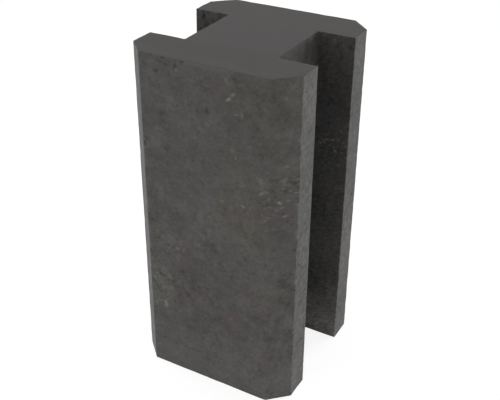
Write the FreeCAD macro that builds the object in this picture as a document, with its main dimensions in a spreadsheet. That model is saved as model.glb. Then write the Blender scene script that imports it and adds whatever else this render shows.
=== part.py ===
"""Slotted concrete fence post: one casting of H section, standing upright.

The fence runs along X. The two flanges stand at its front (-Y) and back (+Y), and the web joins them.
A slot runs the whole length of each side (+X and -X) and takes the edge of a panel or gravel board.
The origin is at the centre of the foot, +Z is up, and sizes are in millimetres.
"""

import FreeCAD, Part
import Sketcher
import os

# Driving dimensions: alias, value and what it measures
SIZES = [
    ("post_width", 120.0, "across a flange, from slot mouth to slot mouth"),
    ("post_depth", 120.0, "from the front face to the back face"),
    ("post_length", 243.0, "from the foot to the top"),
    ("slot_width", 55.0, "clear width between the flanges"),
    ("slot_depth", 26.5, "from a flange's end to the web"),
    ("corner_chamfer", 13.5, "leg of the 45 degree chamfer down each outer corner"),
    ("slot_root_radius", 1.5, "hollow corner between web and flange"),
    ("edge_radius", 0.4, "rounding that the mould leaves on every outer edge"),
]
SHEET = "sizes"
NODE = "fence_post"
NEAR = 1e-4

doc = FreeCAD.newDocument("concrete_fence_post")


def make_sheet():
    """The spreadsheet whose cells drive the model."""
    sheet = doc.addObject("Spreadsheet::Sheet", SHEET)
    for row, (alias, value, meaning) in enumerate(SIZES, start=1):
        sheet.set(f"A{row}", meaning)
        sheet.set(f"B{row}", str(value))
        sheet.setAlias(f"B{row}", alias)
    doc.recompute()
    return sheet


def origin_feature(body, role):
    """One of the body's own origin planes or axes, found by its role."""
    return next(feature for feature in body.Origin.OriginFeatures if feature.Role == role)


def new_sketch(body, name):
    """An empty sketch on the plane of the foot."""
    sketch = body.newObject("Sketcher::SketchObject", name)
    sketch.AttachmentSupport = [(origin_feature(body, "XY_Plane"), "")]
    sketch.MapMode = "FlatFace"
    return sketch


def add_rectangle(sketch, left, front, right, back):
    """Four lines joined at their ends, numbered front 0, right 1, back 2 and left 3."""
    corners = [
        FreeCAD.Vector(left, front, 0),
        FreeCAD.Vector(right, front, 0),
        FreeCAD.Vector(right, back, 0),
        FreeCAD.Vector(left, back, 0),
    ]
    for number, corner in enumerate(corners):
        sketch.addGeometry(Part.LineSegment(corner, corners[(number + 1) % len(corners)]))
    for number in range(len(corners)):
        sketch.addConstraint(Sketcher.Constraint("Coincident", number, 2, (number + 1) % len(corners), 1))
    for side in (0, 2):
        sketch.addConstraint(Sketcher.Constraint("Horizontal", side))
    for side in (1, 3):
        sketch.addConstraint(Sketcher.Constraint("Vertical", side))


def drive(sketch, constraint, name, expression):
    """Adds a named dimension to a sketch and ties it to the spreadsheet."""
    index = sketch.addConstraint(constraint)
    sketch.renameConstraint(index, name)
    sketch.setExpression(f"Constraints.{name}", expression)


def pad_block(body, sheet):
    """The square column that the slots and chamfers are cut from."""
    sketch = new_sketch(body, "block_outline")
    half_width, half_depth = sheet.post_width / 2, sheet.post_depth / 2
    add_rectangle(sketch, -half_width, -half_depth, half_width, half_depth)
    sketch.addConstraint(Sketcher.Constraint("Symmetric", 0, 1, 2, 1, -1, 1))
    drive(sketch, Sketcher.Constraint("Distance", 0, sheet.post_width), "width", f"{SHEET}.post_width")
    drive(sketch, Sketcher.Constraint("Distance", 1, sheet.post_depth), "depth", f"{SHEET}.post_depth")
    pad = body.newObject("PartDesign::Pad", "block")
    pad.Profile = sketch
    pad.setExpression("Length", f"{SHEET}.post_length")
    doc.recompute()
    return pad


def pocket_slots(body, sheet):
    """The slot in the right side, cut from foot to top, and its mirror image in the left side."""
    sketch = new_sketch(body, "slot_outline")
    mouth, half_slot = sheet.post_width / 2, sheet.slot_width / 2
    add_rectangle(sketch, mouth - sheet.slot_depth, -half_slot, mouth, half_slot)
    drive(sketch, Sketcher.Constraint("Distance", 1, sheet.slot_width), "width", f"{SHEET}.slot_width")
    drive(sketch, Sketcher.Constraint("Distance", 0, sheet.slot_depth), "depth", f"{SHEET}.slot_depth")
    across = Sketcher.Constraint("DistanceX", -1, 1, 1, 2, mouth)
    drive(sketch, across, "mouth", f"{SHEET}.post_width / 2")
    beside = Sketcher.Constraint("DistanceY", -1, 1, 1, 2, half_slot)
    drive(sketch, beside, "centring", f"{SHEET}.slot_width / 2")
    pocket = body.newObject("PartDesign::Pocket", "right_slot")
    pocket.Profile = sketch
    pocket.Type = "ThroughAll"
    pocket.Reversed = True
    doc.recompute()
    mirrored = body.newObject("PartDesign::Mirrored", "left_slot")
    mirrored.Originals = [pocket]
    mirrored.MirrorPlane = (origin_feature(body, "YZ_Plane"), [""])
    body.Tip = mirrored
    doc.recompute()
    return mirrored


def edge_names(feature, wanted):
    """Names of the feature's edges that pass a test."""
    return [f"Edge{number}" for number, edge in enumerate(feature.Shape.Edges, start=1) if wanted(edge)]


def is_upright(edge):
    """True for an edge that runs up the post, and false for one in the rim of an end."""
    return edge.BoundBox.ZLength > NEAR


def stands_at(edge, across, through):
    """True for an upright edge at these distances from the post's two middle planes."""
    foot = edge.Vertexes[0].Point
    return is_upright(edge) and abs(abs(foot.x) - across) < NEAR and abs(abs(foot.y) - through) < NEAR


def dress_edges(body, kind, name, base, edges, size, expression):
    """A chamfer or fillet on named edges, its size tied to the spreadsheet."""
    feature = body.newObject(kind, name)
    feature.Base = (base, edges)
    feature.setExpression(size, expression)
    body.Tip = feature
    doc.recompute()
    return feature


def chamfer_corners(body, base, sheet):
    """The wide chamfers down the four outer corners."""
    half_width, half_depth = sheet.post_width / 2, sheet.post_depth / 2
    corners = edge_names(base, lambda edge: stands_at(edge, half_width, half_depth))
    size = f"{SHEET}.corner_chamfer"
    return dress_edges(body, "PartDesign::Chamfer", "corner_chamfers", base, corners, "Size", size)


def round_slot_roots(body, base, sheet):
    """The hollow corners where the web meets the flanges."""
    web_face, flange_face = sheet.post_width / 2 - sheet.slot_depth, sheet.slot_width / 2
    roots = edge_names(base, lambda edge: stands_at(edge, web_face, flange_face))
    size = f"{SHEET}.slot_root_radius"
    return dress_edges(body, "PartDesign::Fillet", "slot_roots", base, roots, "Radius", size)


def round_edges(body, base, sheet):
    """The small rounding on the upright outer edges, then on the rims of the two ends."""
    half_width, half_depth = sheet.post_width / 2, sheet.post_depth / 2

    def is_outer(edge):
        foot = edge.Vertexes[0].Point
        on_outline = abs(abs(foot.x) - half_width) < NEAR or abs(abs(foot.y) - half_depth) < NEAR
        return is_upright(edge) and on_outline

    size = f"{SHEET}.edge_radius"
    outer = edge_names(base, is_outer)
    uprights = dress_edges(body, "PartDesign::Fillet", "upright_edges", base, outer, "Radius", size)
    rims = edge_names(uprights, lambda edge: not is_upright(edge))
    return dress_edges(body, "PartDesign::Fillet", "end_rims", uprights, rims, "Radius", size)


def build_post(sheet):
    """The whole casting."""
    body = doc.addObject("PartDesign::Body", NODE)
    body.Label = NODE
    block = pad_block(body, sheet)
    slotted = pocket_slots(body, sheet)
    removed = block.Shape.Volume - slotted.Shape.Volume
    slots = 2 * sheet.slot_width * sheet.slot_depth * sheet.post_length
    if abs(removed - slots) > NEAR * slots:
        raise RuntimeError(f"the slots took {removed:.0f} mm3 instead of {slots:.0f} mm3")
    chamfered = chamfer_corners(body, slotted, sheet)
    rooted = round_slot_roots(body, chamfered, sheet)
    round_edges(body, rooted, sheet)
    return body


def check_document(bodies):
    """Stops the build if any object failed or a piece is not one valid solid."""
    failed = [item.Label for item in doc.Objects if {"Invalid", "Error"} & set(item.State)]
    if failed:
        raise RuntimeError(f"failed to recompute: {failed}")
    for body in bodies:
        shape = body.Shape
        if shape.isNull() or not shape.isValid() or len(shape.Solids) != 1:
            raise RuntimeError(f"{body.Label} is not one valid solid")


post = build_post(make_sheet())
doc.recompute()
check_document([post])
os.makedirs("parts", exist_ok=True)
post.Shape.exportStep(f"parts/{post.Label}.step")
box = post.Shape.BoundBox
print(f"{post.Label}: {box.XLength:.2f} x {box.YLength:.2f} x {box.ZLength:.2f} mm, {post.Shape.Volume:.0f} mm3")
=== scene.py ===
import math
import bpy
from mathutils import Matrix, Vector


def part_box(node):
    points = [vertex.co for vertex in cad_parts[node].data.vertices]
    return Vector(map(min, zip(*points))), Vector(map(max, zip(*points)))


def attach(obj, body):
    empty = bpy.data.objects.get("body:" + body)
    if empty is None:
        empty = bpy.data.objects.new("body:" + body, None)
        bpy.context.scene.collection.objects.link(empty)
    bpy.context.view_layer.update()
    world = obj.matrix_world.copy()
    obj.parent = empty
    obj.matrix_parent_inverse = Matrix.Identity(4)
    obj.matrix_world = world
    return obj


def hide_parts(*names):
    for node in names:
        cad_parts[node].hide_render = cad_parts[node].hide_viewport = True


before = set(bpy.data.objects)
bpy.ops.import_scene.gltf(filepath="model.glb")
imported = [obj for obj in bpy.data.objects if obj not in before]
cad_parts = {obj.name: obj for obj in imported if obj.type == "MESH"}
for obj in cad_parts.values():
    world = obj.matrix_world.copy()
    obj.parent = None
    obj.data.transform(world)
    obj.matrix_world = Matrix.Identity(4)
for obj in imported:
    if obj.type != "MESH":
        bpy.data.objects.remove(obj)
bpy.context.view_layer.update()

from types import SimpleNamespace

import bpy
import numpy as np
from mathutils import Matrix, Vector


# Fence post: one casting of dark grey concrete with an H section. A slot down each side takes the edge of a
# panel or gravel board, and the outer corners are chamfered. It is cast in a steel mould, which leaves a
# mottled skin with a few air holes and slightly rubbed arrises, and it stands on its own foot.
post_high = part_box("fence_post")[1]
half_width = post_high.x
half_depth = post_high.y
post_length = post_high.z
slot_width = 0.055
slot_depth = 0.0265
corner_chamfer = 0.0135
arris_radius = 0.0004
root_radius = 0.0015
half_web = half_width - slot_depth
half_slot = slot_width / 2
chamfer_reach = half_width + half_depth - corner_chamfer
tiny = 1e-6
face_step = 0.0016
arris_steps = (0.0002, 0.0005, 0.0012)


def grid_lines(stops):
    """Lines from the first stop to the last: close together beside each stop, and a step apart between."""
    lines = []
    for start, end in zip(stops, stops[1:]):
        inner_start = start + arris_steps[-1]
        inner_end = end - arris_steps[-1]
        steps = max(1, round((inner_end - inner_start) / face_step))
        lines.append(start)
        lines.extend(start + step for step in arris_steps[:-1])
        lines.extend(np.linspace(inner_start, inner_end, steps + 1))
        lines.extend(end - step for step in reversed(arris_steps[:-1]))
    lines.append(stops[-1])
    return np.array(lines)


def section_corners(half_x, half_y, web, slot, chamfer):
    """Corners of the H section in order round it, from its five half sizes."""
    quarter = [(web, slot), (half_x, slot), (half_x, half_y - chamfer), (half_x - chamfer, half_y)]
    corners = list(quarter)
    corners.extend((-x, y) for x, y in reversed(quarter))
    corners.extend((-x, -y) for x, y in quarter)
    corners.extend((x, -y) for x, y in reversed(quarter))
    return np.array(corners)


def nearest_on_section(corners, spots):
    """For each spot of the plan, the nearest point on the section's outline and how far off it is."""
    nearest = np.zeros_like(spots)
    distance = np.full(len(spots), np.inf)
    for start, end in zip(corners, np.roll(corners, -1, axis=0)):
        run = end - start
        share = np.clip((spots - start) @ run / (run @ run), 0, 1)
        foot = start + share[:, None] * run
        gap = np.linalg.norm(spots - foot, axis=1)
        closer = gap < distance
        nearest[closer] = foot[closer]
        distance[closer] = gap[closer]
    return nearest, distance


def section_plan():
    """Points and faces of the H section laid flat: a grid with the slots and the chamfers left out."""
    columns = grid_lines((-half_width, corner_chamfer - half_width, -half_web,
                          half_web, half_width - corner_chamfer, half_width))
    rows = grid_lines((-half_depth, corner_chamfer - half_depth, -half_slot,
                       half_slot, half_depth - corner_chamfer, half_depth))
    numbers = {}
    faces = []
    for i in range(len(columns) - 1):
        for j in range(len(rows) - 1):
            middle_x = abs(columns[i] + columns[i + 1]) / 2
            middle_y = abs(rows[j] + rows[j + 1]) / 2
            if middle_x > half_web and middle_y < half_slot:
                continue
            cell = [(i, j), (i + 1, j), (i + 1, j + 1), (i, j + 1)]
            kept = [(x, y) for x, y in cell if abs(columns[x]) + abs(rows[y]) < chamfer_reach + tiny]
            if len(kept) > 2:
                faces.append([numbers.setdefault(spot, len(numbers)) for spot in kept])
    return np.array([(columns[i], rows[j]) for i, j in numbers]), faces


def sharp_post():
    """Points and faces of the H section drawn up its length, with square arrises."""
    plan, plan_faces = section_plan()
    edges = {pair for face in plan_faces for pair in zip(face, face[1:] + face[:1])}
    rim_edges = [(a, b) for a, b in sorted(edges) if (b, a) not in edges]
    rim = sorted({a for a, b in rim_edges})
    rim_number = {spot: number for number, spot in enumerate(rim)}
    starts = np.array([rim_number[a] for a, b in rim_edges])
    ends = np.array([rim_number[b] for a, b in rim_edges])

    count = len(plan)
    points = [np.column_stack([plan, np.full(count, height)]) for height in (0.0, post_length)]
    rings = [np.array(rim)]
    for height in grid_lines((0.0, post_length))[1:-1]:
        rings.append(np.arange(len(rim)) + sum(len(block) for block in points))
        points.append(np.column_stack([plan[rim], np.full(len(rim), height)]))
    rings.append(np.array(rim) + count)
    faces = [face[::-1] for face in plan_faces]
    faces.extend([spot + count for spot in face] for face in plan_faces)
    for below, above in zip(rings, rings[1:]):
        wall = np.column_stack([below[starts], below[ends], above[ends], above[starts]])
        faces.extend(wall.tolist())
    return np.vstack(points), faces


def root_coves(spots):
    """How far each spot of the plan moves so that the slot roots are filled with a small cove."""
    across, along = np.abs(spots).T
    centre_x = half_web + root_radius
    centre_y = half_slot - root_radius
    from_centre = np.column_stack([across - centre_x, along - centre_y])
    at_root = (across > half_web - tiny) & (across < centre_x)
    at_root &= (along < half_slot + tiny) & (along > centre_y)
    reach = np.linalg.norm(from_centre, axis=1)
    shift = from_centre[at_root] * (root_radius / reach[at_root] - 1)[:, None]
    cove = np.zeros((len(spots), 3))
    cove[at_root, :2] = shift * np.sign(spots[at_root])
    return cove


def eased_arrises(points):
    """The points with every outer arris rounded over and the slot roots filled."""
    spots = points[:, :2]
    across, along = np.abs(spots).T
    core_x = half_width - arris_radius
    core_y = half_depth - arris_radius
    core_web = half_web - arris_radius
    core_slot = half_slot + arris_radius
    core_chamfer = corner_chamfer - (2 - math.sqrt(2)) * arris_radius
    in_flange = (along >= core_slot) & (across <= core_x) & (along <= core_y)
    in_flange &= across + along <= core_x + core_y - core_chamfer
    in_web = (across <= core_web) & (along <= core_y)
    core = section_corners(core_x, core_y, core_web, core_slot, core_chamfer)
    inner = np.where((in_flange | in_web)[:, None], spots, nearest_on_section(core, spots)[0])
    level = np.clip(points[:, 2], arris_radius, post_length - arris_radius)
    inner = np.column_stack([inner, level])
    outward = points - inner
    outward *= arris_radius / np.linalg.norm(outward, axis=1)[:, None]
    return inner + outward + root_coves(spots)


def arris_distance(points):
    """How far each point lies from the nearest outer arris, and how far in from the section's outline."""
    corners = section_corners(half_width, half_depth, half_web, half_slot, corner_chamfer)
    inset = nearest_on_section(corners, points[:, :2])[1]
    distance = np.hypot(inset, np.minimum(points[:, 2], post_length - points[:, 2]))
    for corner in corners:
        if abs(corner[0]) > half_web + tiny:
            distance = np.minimum(distance, np.linalg.norm(points[:, :2] - corner, axis=1))
    return distance, inset


class Wire:
    """One output socket of a node tree. Sums written with wires add Math nodes to that tree."""

    def __init__(self, tree, socket=None):
        self.tree = tree
        self.socket = socket

    def node(self, kind, settings=None, inputs=None, output=0):
        """Adds a node: its settings first, then its sockets' values or links. Gives one output, if any."""
        made = self.tree.nodes.new(kind)
        for name, setting in (settings or {}).items():
            setattr(made, name, setting)
        for name, value in (inputs or {}).items():
            if isinstance(value, Wire):
                self.tree.links.new(value.socket, made.inputs[name])
            else:
                made.inputs[name].default_value = value
        return Wire(self.tree, made.outputs[output]) if made.outputs else None

    def math(self, operation, *values):
        """A Math node on one, two or three values."""
        return self.node("ShaderNodeMath", {"operation": operation}, dict(enumerate(values)))

    def __add__(self, other):
        return self.math("ADD", self, other)

    def __radd__(self, other):
        return self.math("ADD", other, self)

    def __sub__(self, other):
        return self.math("SUBTRACT", self, other)

    def __rsub__(self, other):
        return self.math("SUBTRACT", other, self)

    def __mul__(self, other):
        return self.math("MULTIPLY", self, other)

    def __rmul__(self, other):
        return self.math("MULTIPLY", other, self)

    def __truediv__(self, other):
        return self.math("DIVIDE", self, other)

    def __rtruediv__(self, other):
        return self.math("DIVIDE", other, self)

    def __abs__(self):
        return self.math("ABSOLUTE", self)

    def most(self, other):
        """The larger of two values."""
        return self.math("MAXIMUM", self, other)

    def times_plus(self, factor, addend):
        """This value times a factor, plus another value."""
        return self.math("MULTIPLY_ADD", self, factor, addend)

    def ramp(self, start, end, top=1.0):
        """0 up to start, top from end, and a smooth rise between. It falls where start is above end."""
        inputs = {"Value": self, "From Min": start, "From Max": end, "To Max": top}
        return self.node("ShaderNodeMapRange", {"interpolation_type": "SMOOTHSTEP"}, inputs)

    def band(self, rise, fall):
        """1 between a rise and a fall, each a pair of limits, and 0 outside them."""
        return self.ramp(*rise) * self.ramp(*fall)

    def stored(self, name):
        """A value that is kept on the mesh, for a shader's tree."""
        return self.node("ShaderNodeAttribute", {"attribute_name": name}, None, "Fac")

    def axis(self, name):
        """One of the three numbers of a place or a colour."""
        return self.node("ShaderNodeSeparateXYZ", None, {0: self}, name)

    def scaled(self, factor):
        """This vector or colour times a number."""
        return self.node("ShaderNodeVectorMath", {"operation": "SCALE"}, {0: self, "Scale": factor})

    def away_from(self, spot):
        """Distance from a spot, for a wire that holds places."""
        return self.node("ShaderNodeVectorMath", {"operation": "DISTANCE"}, {0: self, 1: spot}, "Value")

    def cloud(self, size, detail, roughness, seed):
        """Soft patches about as wide as size, from 0 to 1 with most of it near 0.5."""
        moved = self.node("ShaderNodeVectorMath", {"operation": "ADD"}, {0: self, 1: (seed, seed, seed)})
        inputs = {"Vector": moved, "Scale": 1 / size, "Detail": detail, "Roughness": roughness}
        return self.node("ShaderNodeTexNoise", None, inputs)

    def turned(self, turn, stretch):
        """The places turned about the origin and stretched along each axis, for what runs one way."""
        inputs = {"Vector": self, "Rotation": turn, "Scale": stretch}
        return self.node("ShaderNodeMapping", {"vector_type": "TEXTURE"}, inputs)

    def strokes(self, turn, stretch, detail, roughness):
        """A cloud drawn out one way, with its patches' sizes as the stretch."""
        drawn_out = self.turned(turn, stretch)
        inputs = {"Vector": drawn_out, "Scale": 1.0, "Detail": detail, "Roughness": roughness}
        return self.node("ShaderNodeTexNoise", None, inputs)

    def blend(self, first, second, share):
        """One colour with a share of a second one in it."""
        first_colour, second_colour, mixed_colour = 6, 7, 2
        inputs = {0: share, first_colour: first, second_colour: second}
        return self.node("ShaderNodeMix", {"data_type": "RGBA"}, inputs, mixed_colour)

    def mixed(self, other, share):
        """This colour with a share of another one in it."""
        return self.blend(self, other, share)


def on_front(across, up):
    """A place on the front face, or on the chamfer beside it where that runs."""
    return across, max(-half_depth, abs(across) - chamfer_reach), up


def on_back_flange(across, up):
    """A place on the face of the back flange that looks into a slot."""
    return across, half_slot, up


air_hole_spacing = 0.015
air_hole_radius = 0.0016
air_hole_share = (0.35, 0.30)
off_front_range = (0.002 - half_depth, 0.006 - half_depth)
# Holes and chips with a place of their own: how far across and up each lies, and its radius.
placed_holes = (
    (0.0025, 0.2135, 0.0030), (-0.0490, 0.1815, 0.0026), (-0.0340, 0.2325, 0.0026),
    (-0.0195, 0.2385, 0.0028),
)
rub_cloud = (0.011, 3.0, 0.6, 3.1)
rub_range = (0.42, 0.68)
rub_width = 0.0026
placed_chips = (
    (-0.0280, post_length, 0.0022), (-0.0245, post_length, 0.0016), (-0.0150, post_length, 0.0026),
    (0.0060, post_length, 0.0014),
)


def air_holes(place):
    """Bubbles that the mould face cut open: 0 on the skin, rising to 1 at the middle of a hole."""
    cells = {"Vector": place, "Scale": 1 / air_hole_spacing}
    near = place.node("ShaderNodeTexVoronoi", None, cells, "Distance")
    pick = place.node("ShaderNodeTexVoronoi", None, cells, "Color").axis("X")
    off_front = place.axis("Y").ramp(*off_front_range)
    holes = near.ramp(air_hole_radius / air_hole_spacing, 0.0) * off_front
    holes = holes * pick.ramp(*air_hole_share)
    for across, up, radius in placed_holes:
        holes = holes.most(place.away_from(on_front(across, up)).ramp(radius, 0.0))
    return holes


def arris_rub(place, distance):
    """Where the arrises are rubbed or chipped: 1 on the worst of them, fading a little into the faces."""
    patchy = place.cloud(*rub_cloud).ramp(*rub_range)
    rub = patchy * distance.ramp(rub_width, 0.0)
    for across, up, radius in placed_chips:
        rub = rub.most(place.away_from(on_front(across, up)).ramp(radius, 0.0))
    return rub


skin_sizes = {
    "Hole Depth": 0.0009, "Rub Depth": 0.00018, "Wave Depth": 0.00018, "Wave Size": 0.045, "Wave Seed": 3.7,
}
wave_margin = 0.006


def cast_skin_tree(concrete):
    """Node tree that sinks air holes, rubbed arrises and the mould's faint waves into the post's skin."""
    tree = bpy.data.node_groups.new("cast_skin", "GeometryNodeTree")
    tree.interface.new_socket("Geometry", in_out="INPUT", socket_type="NodeSocketGeometry")
    tree.interface.new_socket("Geometry", in_out="OUTPUT", socket_type="NodeSocketGeometry")
    for name in skin_sizes:
        tree.interface.new_socket(name, in_out="INPUT", socket_type="NodeSocketFloat")
    start = Wire(tree)
    given = {name: start.node("NodeGroupInput", None, None, name) for name in ("Geometry", *skin_sizes)}
    place = start.node("GeometryNodeInputPosition")
    distance = start.node("GeometryNodeInputNamedAttribute", {"data_type": "FLOAT"}, {"Name": "arris"})
    end_face = start.node("GeometryNodeInputNamedAttribute", {"data_type": "FLOAT"}, {"Name": "end_face"})
    wave_inputs = {"Vector": place, "W": given["Wave Seed"], "Scale": 1 / given["Wave Size"], "Detail": 1.0}
    waves = start.node("ShaderNodeTexNoise", {"noise_dimensions": "4D"}, wave_inputs)
    wall = 1 - end_face
    depth = waves * given["Wave Depth"] * wall * distance.ramp(0.0, wave_margin)
    depth = depth + air_holes(place) * given["Hole Depth"] * wall
    depth = depth + arris_rub(place, distance) * given["Rub Depth"]
    inward = start.node("GeometryNodeInputNormal").scaled(0 - depth)
    moved = start.node("GeometryNodeSetPosition", None, {"Geometry": given["Geometry"], "Offset": inward})
    smooth = start.node("GeometryNodeSetShadeSmooth", None, {"Geometry": moved})
    whole = start.node("GeometryNodeRealizeInstances", None, {"Geometry": smooth})
    dressed = start.node("GeometryNodeSetMaterial", None, {"Geometry": whole, "Material": concrete})
    start.node("NodeGroupOutput", None, {"Geometry": dressed})
    return tree


# Where one surface of the post passes into the next: the place where a mask is 0, then where it is full.
slot_range = (half_slot + 0.0008, half_slot + 0.0001)
web_range = (half_web + 0.0030, half_web + 0.0005)
flange_end_range = (half_width - 0.0012, half_width - 0.0003)
front_side_range = (half_depth - corner_chamfer - 0.001, half_depth - corner_chamfer)
front_face_range = (half_depth - 0.004, half_depth - 0.001)
left_chamfer_range = (0.0015 - chamfer_reach, 0.0004 - chamfer_reach)
left_slot_range = (0.0, -0.03)


def surface_zones(start):
    """Where each surface of the post lies, as masks from 0 to 1, with the places that they come from."""
    place = start.node("ShaderNodeTexCoord", None, None, "Object")
    sideways, through, height = (place.axis(name) for name in "XYZ")
    across = abs(sideways)
    forward = 0 - through
    end_face = start.stored("end_face")
    wall = 1 - end_face
    in_slot = abs(through).ramp(*slot_range) * wall
    on_web = in_slot * across.ramp(*web_range)
    return SimpleNamespace(
        place=place, sideways=sideways, through=through, height=height, across=across,
        end_face=end_face, wall=wall, in_slot=in_slot, on_web=on_web,
        on_flange_end=across.ramp(*flange_end_range) * wall,
        front_side=forward.ramp(*front_side_range), front_face=forward.ramp(*front_face_range),
        left_chamfer=(sideways + through).ramp(*left_chamfer_range) * wall,
        left_slot=sideways.ramp(*left_slot_range) * in_slot)


# A cloud has a patch size, detail, roughness and seed. Strokes have a turn, stretch, detail and roughness. A
# range is where a mask is 0, then where it is full.
cloud_middle = 0.5
mottle_cloud = (0.011, 3.0, 0.8, 5.2)
sand_cloud = (0.0038, 1.0, 0.5, 9.4)
dark_sand_range = (0.42, 0.26)
pale_sand_range = (0.58, 0.74)
grain_strokes = ((0.60, -0.30, 0.0), (0.0034, 0.0034, 0.0012), 2.0, 0.6)
crumb_cloud = (0.0019, 2.0, 0.6, 12.0)
crumb_share = 3.2
crumb_grain_share = 1.2
hue_cloud = (0.007, 3.0, 0.8, 61.0)
raggedness = 2.5
patch_core = 0.35


def broad_patch(start, name, ragged, core):
    """One kind of broad patch kept on the mesh, full over the core's share, with edges broken by a cloud."""
    return (start.stored(name) + ragged).ramp(1.0, core)


def skin_texture(start, place):
    """The mix as it shows in the skin: mottling, grains of sand, fine strokes, crumbs and drifts of hue."""
    grain = place.strokes(*grain_strokes) - cloud_middle
    mottle = place.cloud(*mottle_cloud) - cloud_middle
    sand = place.cloud(*sand_cloud)
    ragged = mottle * raggedness
    return SimpleNamespace(
        grain=grain, mottle=mottle, ragged=ragged,
        dark_sand=sand.ramp(*dark_sand_range), pale_sand=sand.ramp(*pale_sand_range),
        crumbly=(place.cloud(*crumb_cloud) - cloud_middle) * crumb_share + grain * crumb_grain_share,
        hue=place.cloud(*hue_cloud), speckle=broad_patch(start, "speckle", ragged, patch_core))


broad_cloud = (0.045, 1.0, 0.5, 1.7)
slot_runs = ((0.0, 0.0, 0.0), (0.0070, 0.0070, 0.0300), 2.0, 0.5)
slot_strokes = ((0.0, -0.5, 0.0), (0.0046, 0.0046, 0.0011), 2.0, 0.6)
run_heights = (0.195, 0.225)
lower_heights = (0.17, 0.10)
# Painted light: the walls outside the slots are painted lighter towards the foot.
wall_foot_light_heights = (0.080, 0.0)
upper_heights = (0.08, 0.20)
tone_share = SimpleNamespace(
    mottle=0.95, run_mottle=0.2, slot_mottle=0.38, run=0.6, broad=0.50, grain=0.25, flange_end_grain=1.35,
    slot_stroke=0.75, crumb=0.070, pale_sand=0.19, dark_sand=0.20, upper=0.93, lower=0.22,
    speckle_pale=0.35, speckle_dark=0.25, speckle_crumb=0.12, pale=0.15, damp=0.14, splash=0.09,
    flange_end=0.02, flange_end_upper=0.04, slot=0.6, end_mottle=0.10)


def skin_tone(start, zone, grit):
    """How light or dark the skin is from spot to spot, with 1 for its plain colour, and painted light towards
    the foot of the walls.
    """
    share = tone_share
    broad = zone.place.cloud(*broad_cloud) - cloud_middle
    run = zone.place.strokes(*slot_runs) - cloud_middle
    runny = zone.in_slot * zone.height.ramp(*run_heights)
    slot_stroke = zone.place.strokes(*slot_strokes) - cloud_middle
    mottling = share.mottle - runny * share.run_mottle - zone.in_slot * share.slot_mottle
    uneven = grit.mottle * mottling + run * runny * share.run
    grain = grit.grain * (share.grain + zone.on_flange_end * share.flange_end_grain)
    uneven = uneven + broad * share.broad + grain
    uneven = uneven + slot_stroke * (zone.in_slot - zone.on_web) * share.slot_stroke
    uneven = uneven + grit.crumbly * share.crumb
    uneven = uneven + grit.pale_sand * share.pale_sand - grit.dark_sand * share.dark_sand
    uneven = uneven * (share.upper + zone.height.ramp(*lower_heights) * share.lower)
    sandy = grit.pale_sand * share.speckle_pale - grit.dark_sand * share.speckle_dark
    uneven = uneven + grit.speckle * (sandy + grit.crumbly * share.speckle_crumb)
    pale = broad_patch(start, "pale", grit.mottle, 0.0)
    damp = broad_patch(start, "damp", grit.mottle, 0.0)
    weathering_and_painted_light = pale * share.pale - damp * share.damp
    # Painted light: outside the slots the walls are lighter towards the foot, for the floor's bounced light
    # that the post's shadow takes away.
    weathering_and_painted_light = weathering_and_painted_light + zone.height.ramp(*wall_foot_light_heights) * (1 - zone.in_slot) * share.splash
    flange_end = share.flange_end - zone.height.ramp(*upper_heights) * share.flange_end_upper
    weathering_and_painted_light = weathering_and_painted_light + zone.on_flange_end * flange_end
    walls = uneven * (1 + zone.in_slot * share.slot) + weathering_and_painted_light
    return 1 + zone.wall * walls + zone.end_face * grit.mottle * share.end_mottle


# Painted shade: how dark the slots' faces and the web are painted, for the shade deep in the slots.
slot_shade = 0.615
web_shade = 0.90
# Painted light: the slots are painted lighter towards their feet, most near the foot, for light from below,
# with less on the web and in the left slot.
slot_light_heights = (0.055, 0.004)
slot_light_share = SimpleNamespace(off_web=0.8, off_left=0.6, whole_height=0.10, lift=1.9)
# Painted light: the left slot is painted lighter all over.
left_slot_painted_light = 0.20


def slot_tone(zone):
    """Painted shade that darkens the slots, and the web more, with painted light that lifts them towards
    their feet.
    """
    # Painted light from below, strongest at the foot of the slots.
    painted_slot_foot_light = zone.height.ramp(*slot_light_heights) * (1 - zone.on_web * slot_light_share.off_web)
    painted_slot_foot_light = painted_slot_foot_light * (1 - zone.left_slot * slot_light_share.off_left)
    painted_slot_light = zone.in_slot * (painted_slot_foot_light + zone.height.ramp(post_length, 0.0) * slot_light_share.whole_height)
    shade = (1 - zone.in_slot * (1 - slot_shade)) * (1 - zone.on_web * (1 - web_shade))
    return shade * (1 + painted_slot_light * slot_light_share.lift) * (1 + zone.left_slot * left_slot_painted_light)


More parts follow.
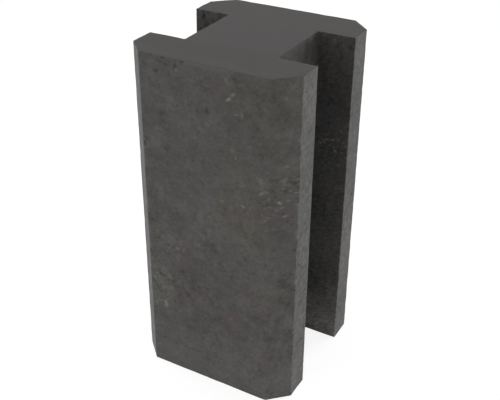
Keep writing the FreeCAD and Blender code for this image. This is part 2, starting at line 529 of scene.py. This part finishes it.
# Small marks: how far across and up each lies, its radius or half length, and for a mark its strength. A form
# has the turn of a mark and how much longer than wide it is.
mark_forms = {
    "round": (0.0, 1.0), "flat": (0.0, 2.3), "rising": (-0.65, 1.9), "falling": (0.5, 1.9),
    "upright": (math.pi / 2, 2.0),
}
mark_core = 0.1
slot_fleck_patches = ((0.047, 0.166, 0.022),)
faint_flecks = (
    (0.0160, 0.2365, 0.0026), (0.0530, 0.2305, 0.0020), (0.0270, 0.1690, 0.0026),
    (0.0410, 0.1755, 0.0032), (-0.0365, 0.0690, 0.0036), (-0.0400, 0.0765, 0.0030),
    (-0.0310, 0.0795, 0.0028), (-0.0350, 0.0845, 0.0034), (-0.0300, 0.0705, 0.0030),
    (-0.0325, 0.0485, 0.0030), (-0.0065, 0.1140, 0.0020), (-0.0370, 0.1055, 0.0022),
)
lime_marks = {
    "round": (
        (0.0200, 0.1915, 0.0028, 0.22), (0.0540, 0.1775, 0.0024, 0.24), (0.0190, 0.2260, 0.0024, 0.26),
    ),
    "flat": (
        (0.0230, 0.2160, 0.0023, 0.30), (0.0540, 0.1860, 0.0034, 0.42), (0.0530, 0.1765, 0.0034, 0.50),
        (0.0520, 0.1680, 0.0018, 0.42), (0.0440, 0.1690, 0.0026, 0.40), (0.0585, 0.1670, 0.0023, 0.48),
        (0.0585, 0.1650, 0.0018, 0.36), (0.0490, 0.1640, 0.0017, 0.36), (0.0465, 0.1590, 0.0020, 0.36),
        (0.0590, 0.1585, 0.0018, 0.45), (0.0540, 0.1510, 0.0030, 0.62), (0.0590, 0.1500, 0.0018, 0.36),
        (0.0455, 0.1510, 0.0024, 0.36), (0.0440, 0.1485, 0.0019, 0.42), (0.0550, 0.1620, 0.0022, 0.36),
        (0.0490, 0.1525, 0.0021, 0.34), (0.0125, 0.1535, 0.0026, 0.44), (-0.0105, 0.1270, 0.0018, 0.50),
        (-0.0200, 0.1065, 0.0021, 0.34), (-0.0015, 0.1215, 0.0015, 0.30), (-0.0075, 0.1045, 0.0018, 0.28),
        (-0.0360, 0.0830, 0.0022, 0.26),
    ),
    "rising": (
        (0.0175, 0.2245, 0.0031, 0.80), (0.0205, 0.2280, 0.0035, 0.46), (0.0530, 0.1710, 0.0019, 0.45),
        (0.0560, 0.1690, 0.0018, 0.42), (0.0410, 0.1670, 0.0030, 0.66), (0.0460, 0.1645, 0.0022, 0.40),
        (0.0500, 0.1560, 0.0020, 0.40), (0.0520, 0.1575, 0.0020, 0.40), (-0.0355, 0.0605, 0.0017, 0.30),
        (-0.0335, 0.0625, 0.0017, 0.30),
    ),
    "falling": (
        (0.0510, 0.1610, 0.0027, 1.00), (0.0280, 0.1540, 0.0025, 0.60), (-0.0230, 0.1055, 0.0027, 0.48),
        (-0.0400, 0.0595, 0.0017, 0.30), (-0.0380, 0.0580, 0.0017, 0.30),
    ),
    "upright": (
        (0.0270, 0.2165, 0.0034, 0.34), (0.0010, 0.2175, 0.0020, 0.18), (-0.0190, 0.2360, 0.0016, 0.50),
        (0.0225, 0.1870, 0.0020, 0.40), (0.0290, 0.1535, 0.0021, 0.40), (0.0330, 0.1545, 0.0020, 0.30),
        (-0.0020, 0.1195, 0.0018, 0.24), (-0.0350, 0.0550, 0.0052, 0.85), (-0.0430, 0.0530, 0.0030, 0.46),
        (-0.0420, 0.0570, 0.0026, 0.28),
    ),
}
slot_lime_marks = {
    "flat": (
        (0.0445, 0.1675, 0.0026, 0.56), (0.0485, 0.1680, 0.0026, 0.52), (0.0465, 0.1635, 0.0018, 0.60),
        (0.0410, 0.1585, 0.0017, 0.25), (0.0530, 0.1695, 0.0015, 0.38), (0.0470, 0.1500, 0.0018, 0.30),
        (0.0545, 0.1500, 0.0019, 0.34), (0.0440, 0.1470, 0.0015, 0.32),
    ),
    "rising": (
        (0.0395, 0.1640, 0.0019, 0.42), (0.0420, 0.1660, 0.0019, 0.42), (0.0495, 0.1625, 0.0015, 0.55),
        (0.0435, 0.1705, 0.0015, 0.32),
    ),
    "falling": (
        (0.0510, 0.1600, 0.0022, 0.60), (0.0560, 0.1680, 0.0014, 0.30), (0.0545, 0.1755, 0.0019, 0.44),
        (0.0585, 0.1650, 0.0019, 0.40), (0.0440, 0.1575, 0.0015, 0.28),
    ),
}
dark_patches = (
    (0.0400, 0.1600, 0.0030), (0.0540, 0.1000, 0.0060), (0.0570, 0.0570, 0.0050),
    (-0.0275, 0.0600, 0.0034), (-0.0350, 0.0420, 0.0026), (-0.0165, 0.0700, 0.0040),
    (-0.0120, 0.0825, 0.0030), (-0.0085, 0.0930, 0.0026), (-0.0010, 0.0440, 0.0032),
    (0.0050, 0.1170, 0.0032), (-0.0185, 0.2130, 0.0018), (-0.0100, 0.2150, 0.0018),
    (-0.0295, 0.1805, 0.0034), (-0.0435, 0.1850, 0.0026), (0.0385, 0.2205, 0.0026),
)
dark_marks = {
    "round": (
        (0.0025, 0.2135, 0.0028, 0.42),
    ),
    "flat": (
        (-0.0280, 0.2420, 0.0030, 0.50), (-0.0245, 0.2410, 0.0013, 0.26), (-0.0190, 0.2420, 0.0015, 0.30),
        (-0.0145, 0.2420, 0.0030, 0.34), (-0.0325, 0.2240, 0.0021, 0.26), (0.0490, 0.2180, 0.0026, 0.28),
        (0.0395, 0.1940, 0.0034, 0.26), (0.0490, 0.1775, 0.0032, 0.30), (0.0490, 0.1660, 0.0020, 0.34),
        (0.0485, 0.1600, 0.0021, 0.32),
    ),
    "rising": (
        (-0.0335, 0.2325, 0.0025, 0.40),
    ),
    "falling": (
        (-0.0190, 0.2390, 0.0025, 0.36),
    ),
    "upright": (
        (-0.0205, 0.2375, 0.0017, 0.24), (-0.0245, 0.2325, 0.0020, 0.30), (-0.0450, 0.1805, 0.0027, 0.46),
        (0.0580, 0.1735, 0.0019, 0.34), (0.0295, 0.1520, 0.0028, 0.22),
    ),
}
slot_dark_marks = {
    "round": (
        (-0.0460, 0.2365, 0.0032, 0.40), (-0.0510, 0.2315, 0.0028, 0.30),
    ),
    "flat": (
        (0.0420, 0.1610, 0.0019, 0.50), (0.0470, 0.1595, 0.0018, 0.38), (0.0515, 0.1645, 0.0018, 0.36),
        (0.0565, 0.1615, 0.0017, 0.36),
    ),
    "falling": (
        (0.0400, 0.1600, 0.0015, 0.46), (0.0375, 0.1670, 0.0015, 0.50),
    ),
    "upright": (
        (-0.0540, 0.2390, 0.0044, 0.72),
    ),
}


def patches(place, spots, ragged, core, on=on_front):
    """Soft blots at the given places, full over the core's share, with edges broken up by a cloud."""
    field = None
    for across, up, radius in spots:
        blot = place.away_from(on(across, up)).times_plus(1 / radius, ragged).ramp(1.0, core)
        field = blot if field is None else field.most(blot)
    return field


def marks(leaning, sorted_spots, ragged, on=on_front):
    """Small marks with broken edges, sorted by their form, which says the way they lean."""
    field = None
    for form, spots in sorted_spots.items():
        turn, slimness = mark_forms[form]
        turn_back = Matrix.Rotation(-turn, 3, "Y")
        for across, up, half_length, strength in spots:
            centre = turn_back @ Vector(on(across, up))
            centre.z *= slimness
            reach = leaning[form].away_from(centre).times_plus(1 / half_length, ragged)
            mark = reach.ramp(1.0, mark_core, strength)
            field = mark if field is None else field.most(mark)
    return field


scatter_cloud = (0.040, 2.0, 0.5, 52.0)
scatter_range = (0.68, 0.80)
flake_strokes = ((-0.25, -0.10, 0.0), (0.0056, 0.0056, 0.0022), 1.0, 0.5)
pale_flake_range = (0.53, 0.76)
dark_flake_range = (0.46, 0.34)
faint_core = -0.1
dark_core = 0.0
crackle_size = 0.0030
crackle_range = (0.14, 0.02)
slot_speck_cloud = (0.0021, 1.0, 0.5, 44.0)
slot_speck_range = (0.60, 0.74)
fleck_share = SimpleNamespace(flake=0.31, faint=0.34, crackle=0.22, slot_speck=0.24)
stain_share = SimpleNamespace(patch=0.28, flake=0.11)
lime_crumble = 0.35
other_crumble = 0.3


def flecks_and_stains(start, zone, grit):
    """Pale flecks of lime, mostly in clusters, and the small dark stains among them."""
    place = zone.place
    scattered = place.cloud(*scatter_cloud).ramp(*scatter_range) * (1 - zone.in_slot)
    cluster = broad_patch(start, "fleck", grit.ragged, patch_core).most(scattered)
    flake = place.strokes(*flake_strokes)
    fleck = flake.ramp(*pale_flake_range) * cluster * fleck_share.flake
    fleck = fleck.most(patches(place, faint_flecks, grit.crumbly, faint_core) * fleck_share.faint)
    cells = {"Vector": place, "Scale": 1 / crackle_size}
    crackle = place.node("ShaderNodeTexVoronoi", {"feature": "DISTANCE_TO_EDGE"}, cells, "Distance")
    fleck = fleck.most(crackle.ramp(*crackle_range) * grit.speckle * fleck_share.crackle)
    leaning = {form: place.turned((0.0, turn, 0.0), (1.0, 1.0, 1 / slimness))
               for form, (turn, slimness) in mark_forms.items()}
    fleck = fleck.most(marks(leaning, lime_marks, grit.crumbly * lime_crumble))
    slot_fleck = place.cloud(*slot_speck_cloud).ramp(*slot_speck_range)
    slot_fleck = slot_fleck * patches(place, slot_fleck_patches, grit.ragged, patch_core, on_back_flange)
    slot_fleck = slot_fleck * fleck_share.slot_speck
    crumble = grit.crumbly * other_crumble
    slot_fleck = slot_fleck.most(marks(leaning, slot_lime_marks, crumble, on_back_flange))
    stain = patches(place, dark_patches, grit.crumbly, dark_core) * stain_share.patch
    stain = stain.most(flake.ramp(*dark_flake_range) * cluster * stain_share.flake)
    stain = stain.most(marks(leaning, dark_marks, crumble))
    stain = stain.most(marks(leaning, slot_dark_marks, crumble, on_back_flange))
    return fleck.most(slot_fleck) * zone.wall, stain * zone.wall


rim_wear_start = (-0.017, -0.009)
rim_wear_end = (0.024, 0.014)
rim_wear_depth = 0.0036
rim_wear_ragged = 0.006


def rim_wear(zone, grit):
    """The stretch of the front's upper rim where the paste is rubbed pale."""
    worn_run = zone.sideways.band(rim_wear_start, rim_wear_end)
    worn_height = zone.height + grit.mottle * rim_wear_ragged
    near_rim = worn_height.ramp(post_length - rim_wear_depth, post_length)
    return near_rim * worn_run * zone.front_face * zone.wall


concrete_grey = (0.1004, 0.0972, 0.0921, 1.0)
end_grey = (0.0975, 0.0939, 0.0899, 1.0)
end_lilac = (0.0974, 0.0916, 0.0943, 1.0)
end_olive = (0.0929, 0.0897, 0.0851, 1.0)
sweep_cloud = (0.030, 2.0, 0.5, 15.0)
sweep_wander = 0.03
middle_sweep = ((-0.026, -0.018), (0.016, 0.006))
front_sweep = ((-0.020, -0.028), (-0.054, -0.046))
rim_sweep = (-0.046, -0.054)
rim_sweep_side = (-0.045, -0.025)


def end_colours(start, zone):
    """The plain grey of the walls, and the two ends with their faint lilac and olive sweeps."""
    skin = start.blend(concrete_grey, end_grey, zone.end_face)
    swept = zone.through + (zone.place.cloud(*sweep_cloud) - cloud_middle) * sweep_wander
    by_rim = swept.ramp(*rim_sweep) * zone.sideways.ramp(*rim_sweep_side)
    skin = skin.mixed(end_lilac, zone.end_face * swept.band(*middle_sweep).most(by_rim))
    return skin.mixed(end_olive, zone.end_face * swept.band(*front_sweep))


flange_end_grey = (0.0965, 0.0951, 0.0927, 1.0)
flange_end_pink = (0.0995, 0.0932, 0.0950, 1.0)
flange_end_green = (0.0938, 0.0965, 0.0905, 1.0)
# Painted sheen: a cooler, more neutral grey on the left chamfer.
chamfer_painted_sheen = (0.1028, 0.1026, 0.1020, 1.0)
end_speck_cloud = (0.0040, 1.0, 0.5, 70.0)
pink_range = (0.52, 0.68)
green_range = (0.48, 0.32)


def flange_end_colours(skin, zone):
    """The narrow ends of the flanges, specked with pink and green, and a painted sheen on the left chamfer: a
    cooler tint for its grazing gloss.
    """
    speck = zone.place.cloud(*end_speck_cloud)
    skin = skin.mixed(flange_end_grey, zone.on_flange_end)
    skin = skin.mixed(flange_end_pink, zone.on_flange_end * speck.ramp(*pink_range))
    skin = skin.mixed(flange_end_green, zone.on_flange_end * speck.ramp(*green_range))
    return skin.mixed(chamfer_painted_sheen, zone.left_chamfer)


slot_grey = (0.1007, 0.0968, 0.0946, 1.0)
slot_brown = (0.1060, 0.0950, 0.0900, 1.0)
slot_blue = (0.0940, 0.0974, 0.1010, 1.0)
above_foot = (0.020, 0.050)
grey_heights = (0.235, 0.200)
brown_side = (0.042, 0.054)
brown_hue = (0.62, 0.36)
brown_heights = (0.185, 0.225)
upper_brown_share = 0.35
blue_side = (0.056, 0.044)
blue_hue = (0.44, 0.66)
blue_heights = (0.225, 0.190)


def slot_colours(skin, zone, grit):
    """The flanges' faces in the slots: brown towards the mouth and the top, blue grey towards the web."""
    flange = (zone.in_slot - zone.on_web) * zone.height.ramp(*above_foot)
    skin = skin.mixed(slot_grey, flange * zone.height.ramp(*grey_heights))
    skin = skin.mixed(slot_brown, flange * zone.across.ramp(*brown_side) * grit.hue.ramp(*brown_hue))
    skin = skin.mixed(slot_brown, flange * zone.height.ramp(*brown_heights) * upper_brown_share)
    blue = flange * zone.across.ramp(*blue_side) * grit.hue.ramp(*blue_hue)
    return skin.mixed(slot_blue, blue * zone.height.ramp(*blue_heights))


olive_tint = (0.1004, 0.0968, 0.0834, 1.0)
mauve_tint = (0.1028, 0.0950, 0.0932, 1.0)
plum_tint = (0.1170, 0.0865, 0.0930, 1.0)
mauve_hue = (0.5, 0.25)
olive_hue = (0.5, 0.75)
olive_cloud = (0.055, 3.0, 0.6, 21.0)
olive_range = (0.58, 0.74)
olive_core = 0.5
plum_cloud = (0.026, 3.0, 0.6, 33.0)
plum_range = (0.64, 0.76)
plum_raggedness = 0.6
plum_wisps = ((-0.25, -0.10, 0.0), (0.0055, 0.0055, 0.0030), 2.0, 0.7)
wisp_range = (0.44, 0.58)
tint_share = SimpleNamespace(hue=0.3, olive=0.72, plum=0.70)


def tinted(skin, start, zone, grit):
    """Drifts of mauve and olive, then olive and plum stains: placed in front and random elsewhere."""
    other_sides = 1 - zone.front_side
    olive = zone.place.cloud(*olive_cloud).ramp(*olive_range) * other_sides
    olive = olive.most(broad_patch(start, "olive", grit.ragged, olive_core))
    plum = zone.place.cloud(*plum_cloud).ramp(*plum_range) * other_sides
    plum = plum.most(broad_patch(start, "plum", grit.ragged * plum_raggedness, patch_core))
    plum = plum * zone.place.strokes(*plum_wisps).ramp(*wisp_range)
    skin = skin.mixed(mauve_tint, grit.hue.ramp(*mauve_hue) * zone.wall * tint_share.hue)
    skin = skin.mixed(olive_tint, grit.hue.ramp(*olive_hue) * zone.wall * tint_share.hue)
    skin = skin.mixed(olive_tint, olive * zone.wall * tint_share.olive)
    return skin.mixed(plum_tint, plum * zone.wall * tint_share.plum)


rim_paste = (0.1150, 0.1118, 0.1080, 1.0)
lime_fleck = (0.233, 0.226, 0.205, 1.0)
rim_paste_share = 0.75
rub_lift = 0.08
hole_shade = 0.25
hole_shade_range = (0.1, 0.9)
relief_share = SimpleNamespace(mottle=0.6, grain=0.4, sand=0.15, hole=0.5)
bump_strength = 0.5
bump_depth = 0.0006
plain_roughness = 0.88
roughness_swing = 0.3
specular_level = 0.16


def concrete_material():
    """Dark grey concrete as it leaves the mould: mottled and matt, with lime flecks and stains, painted shade
    in the slots and painted light towards the foot.
    """
    material = bpy.data.materials.new("cast_concrete")
    material.use_nodes = True
    material.node_tree.nodes.clear()
    start = Wire(material.node_tree)
    zone = surface_zones(start)
    grit = skin_texture(start, zone.place)
    tone = skin_tone(start, zone, grit) * slot_tone(zone)
    fleck, stain = flecks_and_stains(start, zone, grit)
    holes = air_holes(zone.place) * zone.wall
    rubbed = arris_rub(zone.place, start.stored("arris"))

    skin = flange_end_colours(end_colours(start, zone), zone)
    skin = tinted(slot_colours(skin, zone, grit), start, zone, grit)
    skin = skin.scaled(tone)
    skin = skin.mixed(rim_paste, rim_wear(zone, grit) * rim_paste_share)
    skin = skin.mixed(lime_fleck, fleck)
    shade = stain.most(holes.ramp(*hole_shade_range) * hole_shade)
    skin = skin.scaled((1 + rubbed * rub_lift) * (1 - shade))

    relief = grit.mottle * relief_share.mottle + grit.grain * relief_share.grain
    relief = relief + (grit.pale_sand - grit.dark_sand) * relief_share.sand
    relief = zone.wall * relief - holes * relief_share.hole
    bump_inputs = {"Strength": bump_strength, "Distance": bump_depth, "Height": relief}
    bump = start.node("ShaderNodeBump", None, bump_inputs)
    roughness = plain_roughness + grit.mottle * roughness_swing
    shader = start.node("ShaderNodeBsdfPrincipled", None, {
        "Base Color": skin, "Roughness": roughness, "Specular IOR Level": specular_level, "Normal": bump})
    start.node("ShaderNodeOutputMaterial", None, {"Surface": shader})
    return material


# Broad patches of the front, by kind: how far across and up each lies, and its radius.
broad_patches = {
    "pale": (
        (0.047, 0.118, 0.034), (-0.018, 0.014, 0.050), (0.012, 0.020, 0.026), (0.022, 0.174, 0.015),
        (0.046, 0.096, 0.016), (0.056, 0.022, 0.018),
    ),
    "damp": (
        (0.047, 0.212, 0.029), (0.052, 0.211, 0.010), (0.056, 0.200, 0.018), (-0.028, 0.178, 0.024),
        (-0.041, 0.198, 0.028), (-0.018, 0.070, 0.018), (0.044, 0.060, 0.020), (-0.020, 0.126, 0.018),
        (0.000, 0.126, 0.018), (-0.040, 0.128, 0.018), (0.024, 0.117, 0.014), (0.030, 0.238, 0.021),
        (0.047, 0.237, 0.018), (0.058, 0.214, 0.018),
    ),
    "olive": (
        (0.050, 0.222, 0.022), (0.036, 0.220, 0.016), (0.026, 0.227, 0.011), (0.048, 0.205, 0.013),
        (0.022, 0.183, 0.009), (0.056, 0.180, 0.012), (0.047, 0.169, 0.010), (0.016, 0.155, 0.011),
        (0.026, 0.163, 0.008), (0.032, 0.139, 0.018), (0.020, 0.141, 0.011), (-0.038, 0.084, 0.007),
        (0.048, 0.094, 0.007),
    ),
    "plum": (
        (-0.001, 0.225, 0.0040), (0.008, 0.228, 0.0038), (0.018, 0.217, 0.0045), (0.020, 0.206, 0.0065),
        (0.026, 0.214, 0.0032), (0.038, 0.229, 0.0032), (0.048, 0.205, 0.0038), (0.055, 0.199, 0.0055),
        (-0.001, 0.162, 0.0045), (0.023, 0.146, 0.0080), (0.030, 0.154, 0.0070), (0.038, 0.151, 0.0100),
        (0.049, 0.150, 0.0080), (0.055, 0.156, 0.0100), (-0.021, 0.118, 0.0040), (-0.024, 0.106, 0.0100),
        (-0.013, 0.103, 0.0110), (-0.020, 0.092, 0.0035), (-0.007, 0.074, 0.0065),
        (-0.017, 0.061, 0.0100), (0.016, 0.076, 0.0055), (0.037, 0.081, 0.0120), (0.021, 0.064, 0.0065),
        (0.031, 0.062, 0.0055), (0.015, 0.056, 0.0060), (0.035, 0.048, 0.0055), (0.048, 0.039, 0.0075),
        (0.053, 0.085, 0.0055),
    ),
    "fleck": (
        (0.049, 0.169, 0.017), (-0.043, 0.068, 0.018),
    ),
    "speckle": (
        (-0.041, 0.081, 0.016), (-0.038, 0.062, 0.014), (-0.026, 0.108, 0.012),
    ),
}


def blot_distance(points, spots):
    """How far each point lies from the nearest of some blots, as a share of that blot's radius."""
    shares = [np.linalg.norm(points - on_front(across, up), axis=1) / radius for across, up, radius in spots]
    return np.min(shares, axis=0)


sharp_points, post_faces = sharp_post()
post_mesh = bpy.data.meshes.new("cast_post")
post_mesh.from_pydata(eased_arrises(sharp_points).tolist(), [], post_faces)
arris, inset = arris_distance(sharp_points)
on_end = (np.abs(sharp_points[:, 2] - post_length / 2) > post_length / 2 - tiny) & (inset > tiny)
stored_values = {"arris": arris, "end_face": on_end}
for name, spots in broad_patches.items():
    stored_values[name] = blot_distance(sharp_points, spots)
for name, values in stored_values.items():
    attribute = post_mesh.attributes.new(name, "FLOAT", "POINT")
    attribute.data.foreach_set("value", values.astype(np.float32))
post = bpy.data.objects.new("cast_post", post_mesh)
bpy.context.scene.collection.objects.link(post)
skin_modifier = post.modifiers.new("cast_skin", "NODES")
skin_modifier.node_group = cast_skin_tree(concrete_material())
for socket in skin_modifier.node_group.interface.items_tree:
    if socket.name in skin_sizes:
        skin_modifier[socket.identifier] = skin_sizes[socket.name]
depsgraph = bpy.context.evaluated_depsgraph_get()
post_mesh = bpy.data.meshes.new_from_object(post.evaluated_get(depsgraph), preserve_all_data_layers=True,
                                            depsgraph=depsgraph)
post.modifiers.remove(skin_modifier)
post.data = post_mesh
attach(post, "root")
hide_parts("fence_post")


# Floor: a wide, round sheet of pale board that the post stands on. It is evenly lit and runs out into the
# white surround, and it keeps a soft shadow round the foot.
floor_radius = 6.0
floor_sides = 64
floor_grey = (0.80, 0.80, 0.80, 1.0)
white = (1.0, 1.0, 1.0, 1.0)
shadow_share = 0.40
floor_glow = 0.85
shadow_reach = (0.35, 1.1)


def seen_in_picture(start):
    """1 for what the camera sees, also in gloss or through glass, and 0 for light that falls on the post."""
    direct = start.node("ShaderNodeLightPath", None, None, "Is Camera Ray")
    in_gloss = start.node("ShaderNodeLightPath", None, None, "Is Glossy Ray")
    through_glass = start.node("ShaderNodeLightPath", None, None, "Is Transmission Ray")
    return direct.most(in_gloss).most(through_glass)


def floor_material():
    """Pale board that shows as white, with a soft shadow near the post."""
    material = bpy.data.materials.new("pale_floor")
    material.use_nodes = True
    material.node_tree.nodes.clear()
    start = Wire(material.node_tree)
    seen = seen_in_picture(start)
    place = start.node("ShaderNodeTexCoord", None, None, "Object")
    far = place.away_from((0.0, 0.0, 0.0)).ramp(*shadow_reach)
    sheet = start.node("ShaderNodeBsdfDiffuse", None, {"Color": floor_grey})
    soft = start.node("ShaderNodeMixShader", None, {0: seen * (1 - shadow_share), 1: sheet})
    glow = start.node("ShaderNodeEmission", None, {"Color": white, "Strength": seen * floor_glow})
    near = start.node("ShaderNodeAddShader", None, {0: soft, 1: glow})
    beyond = start.node("ShaderNodeEmission", None, {"Color": white, "Strength": 1.0})
    both = start.node("ShaderNodeMixShader", None, {0: far * seen, 1: near, 2: beyond})
    start.node("ShaderNodeOutputMaterial", None, {"Surface": both})
    return material


floor_mesh = bpy.data.meshes.new("floor")
turns = np.linspace(0, 2 * math.pi, floor_sides, endpoint=False)
floor_rim = [(floor_radius * math.cos(turn), floor_radius * math.sin(turn), 0.0) for turn in turns]
floor_mesh.from_pydata(floor_rim, [], [list(range(floor_sides))])
floor_mesh.materials.append(floor_material())
floor = bpy.data.objects.new("floor", floor_mesh)
bpy.context.scene.collection.objects.link(floor)


# Studio light: an even white surround with four broad soft lamps at about the post's height, the stronger two
# on the left and behind on the right. Each lamp has the direction it stands in and its strength.
surround_level = 0.28
lamp_spread = 50.0
lamps = {
    "back_lamp": ((0.50, 0.87, 0.08), 4.10),
    "front_lamp": ((-0.14, -0.99, 0.05), 0.86),
    "left_lamp": ((-1.00, 0.02, 0.05), 4.60),
    "right_lamp": ((0.94, -0.34, 0.10), 0.85),
}

world = bpy.data.worlds.new("surround")
bpy.context.scene.world = world
world.use_nodes = True
world.node_tree.nodes.clear()
air = Wire(world.node_tree)
level = surround_level + seen_in_picture(air) * (1.0 - surround_level)
sky = air.node("ShaderNodeBackground", None, {"Color": white, "Strength": level})
air.node("ShaderNodeOutputWorld", None, {"Surface": sky})
for name, (direction, strength) in lamps.items():
    lamp = bpy.data.lights.new(name, "SUN")
    lamp.energy = strength
    lamp.angle = math.radians(lamp_spread)
    holder = bpy.data.objects.new(name, lamp)
    holder.rotation_euler = Vector(direction).to_track_quat("Z", "Y").to_euler()
    bpy.context.scene.collection.objects.link(holder)


# Camera: it stands at the front right and looks down on the post, thirty degrees round and thirty degrees up.
# Its lens length and the small shift of its picture set the frame.
picture_width = 500
picture_height = 400
sensor_width = 36.0
focal_pixels = 857.8
optical_centre = (238.1, 193.4)
turn_round = math.radians(30)
turn_up = math.radians(30)
camera_place = (0.2558, -0.4608, 0.4299)

camera_data = bpy.data.cameras.new("camera")
camera_data.sensor_width = sensor_width
camera_data.lens = focal_pixels / picture_width * sensor_width
camera_data.shift_x = (picture_width / 2 - optical_centre[0]) / picture_width
camera_data.shift_y = (optical_centre[1] - picture_height / 2) / picture_width
camera = bpy.data.objects.new("camera", camera_data)
camera.location = camera_place
camera.rotation_euler = (math.pi / 2 - turn_up, 0.0, turn_round)
bpy.context.scene.collection.objects.link(camera)
bpy.context.scene.camera = camera
bpy.context.scene.view_settings.view_transform = "Standard"
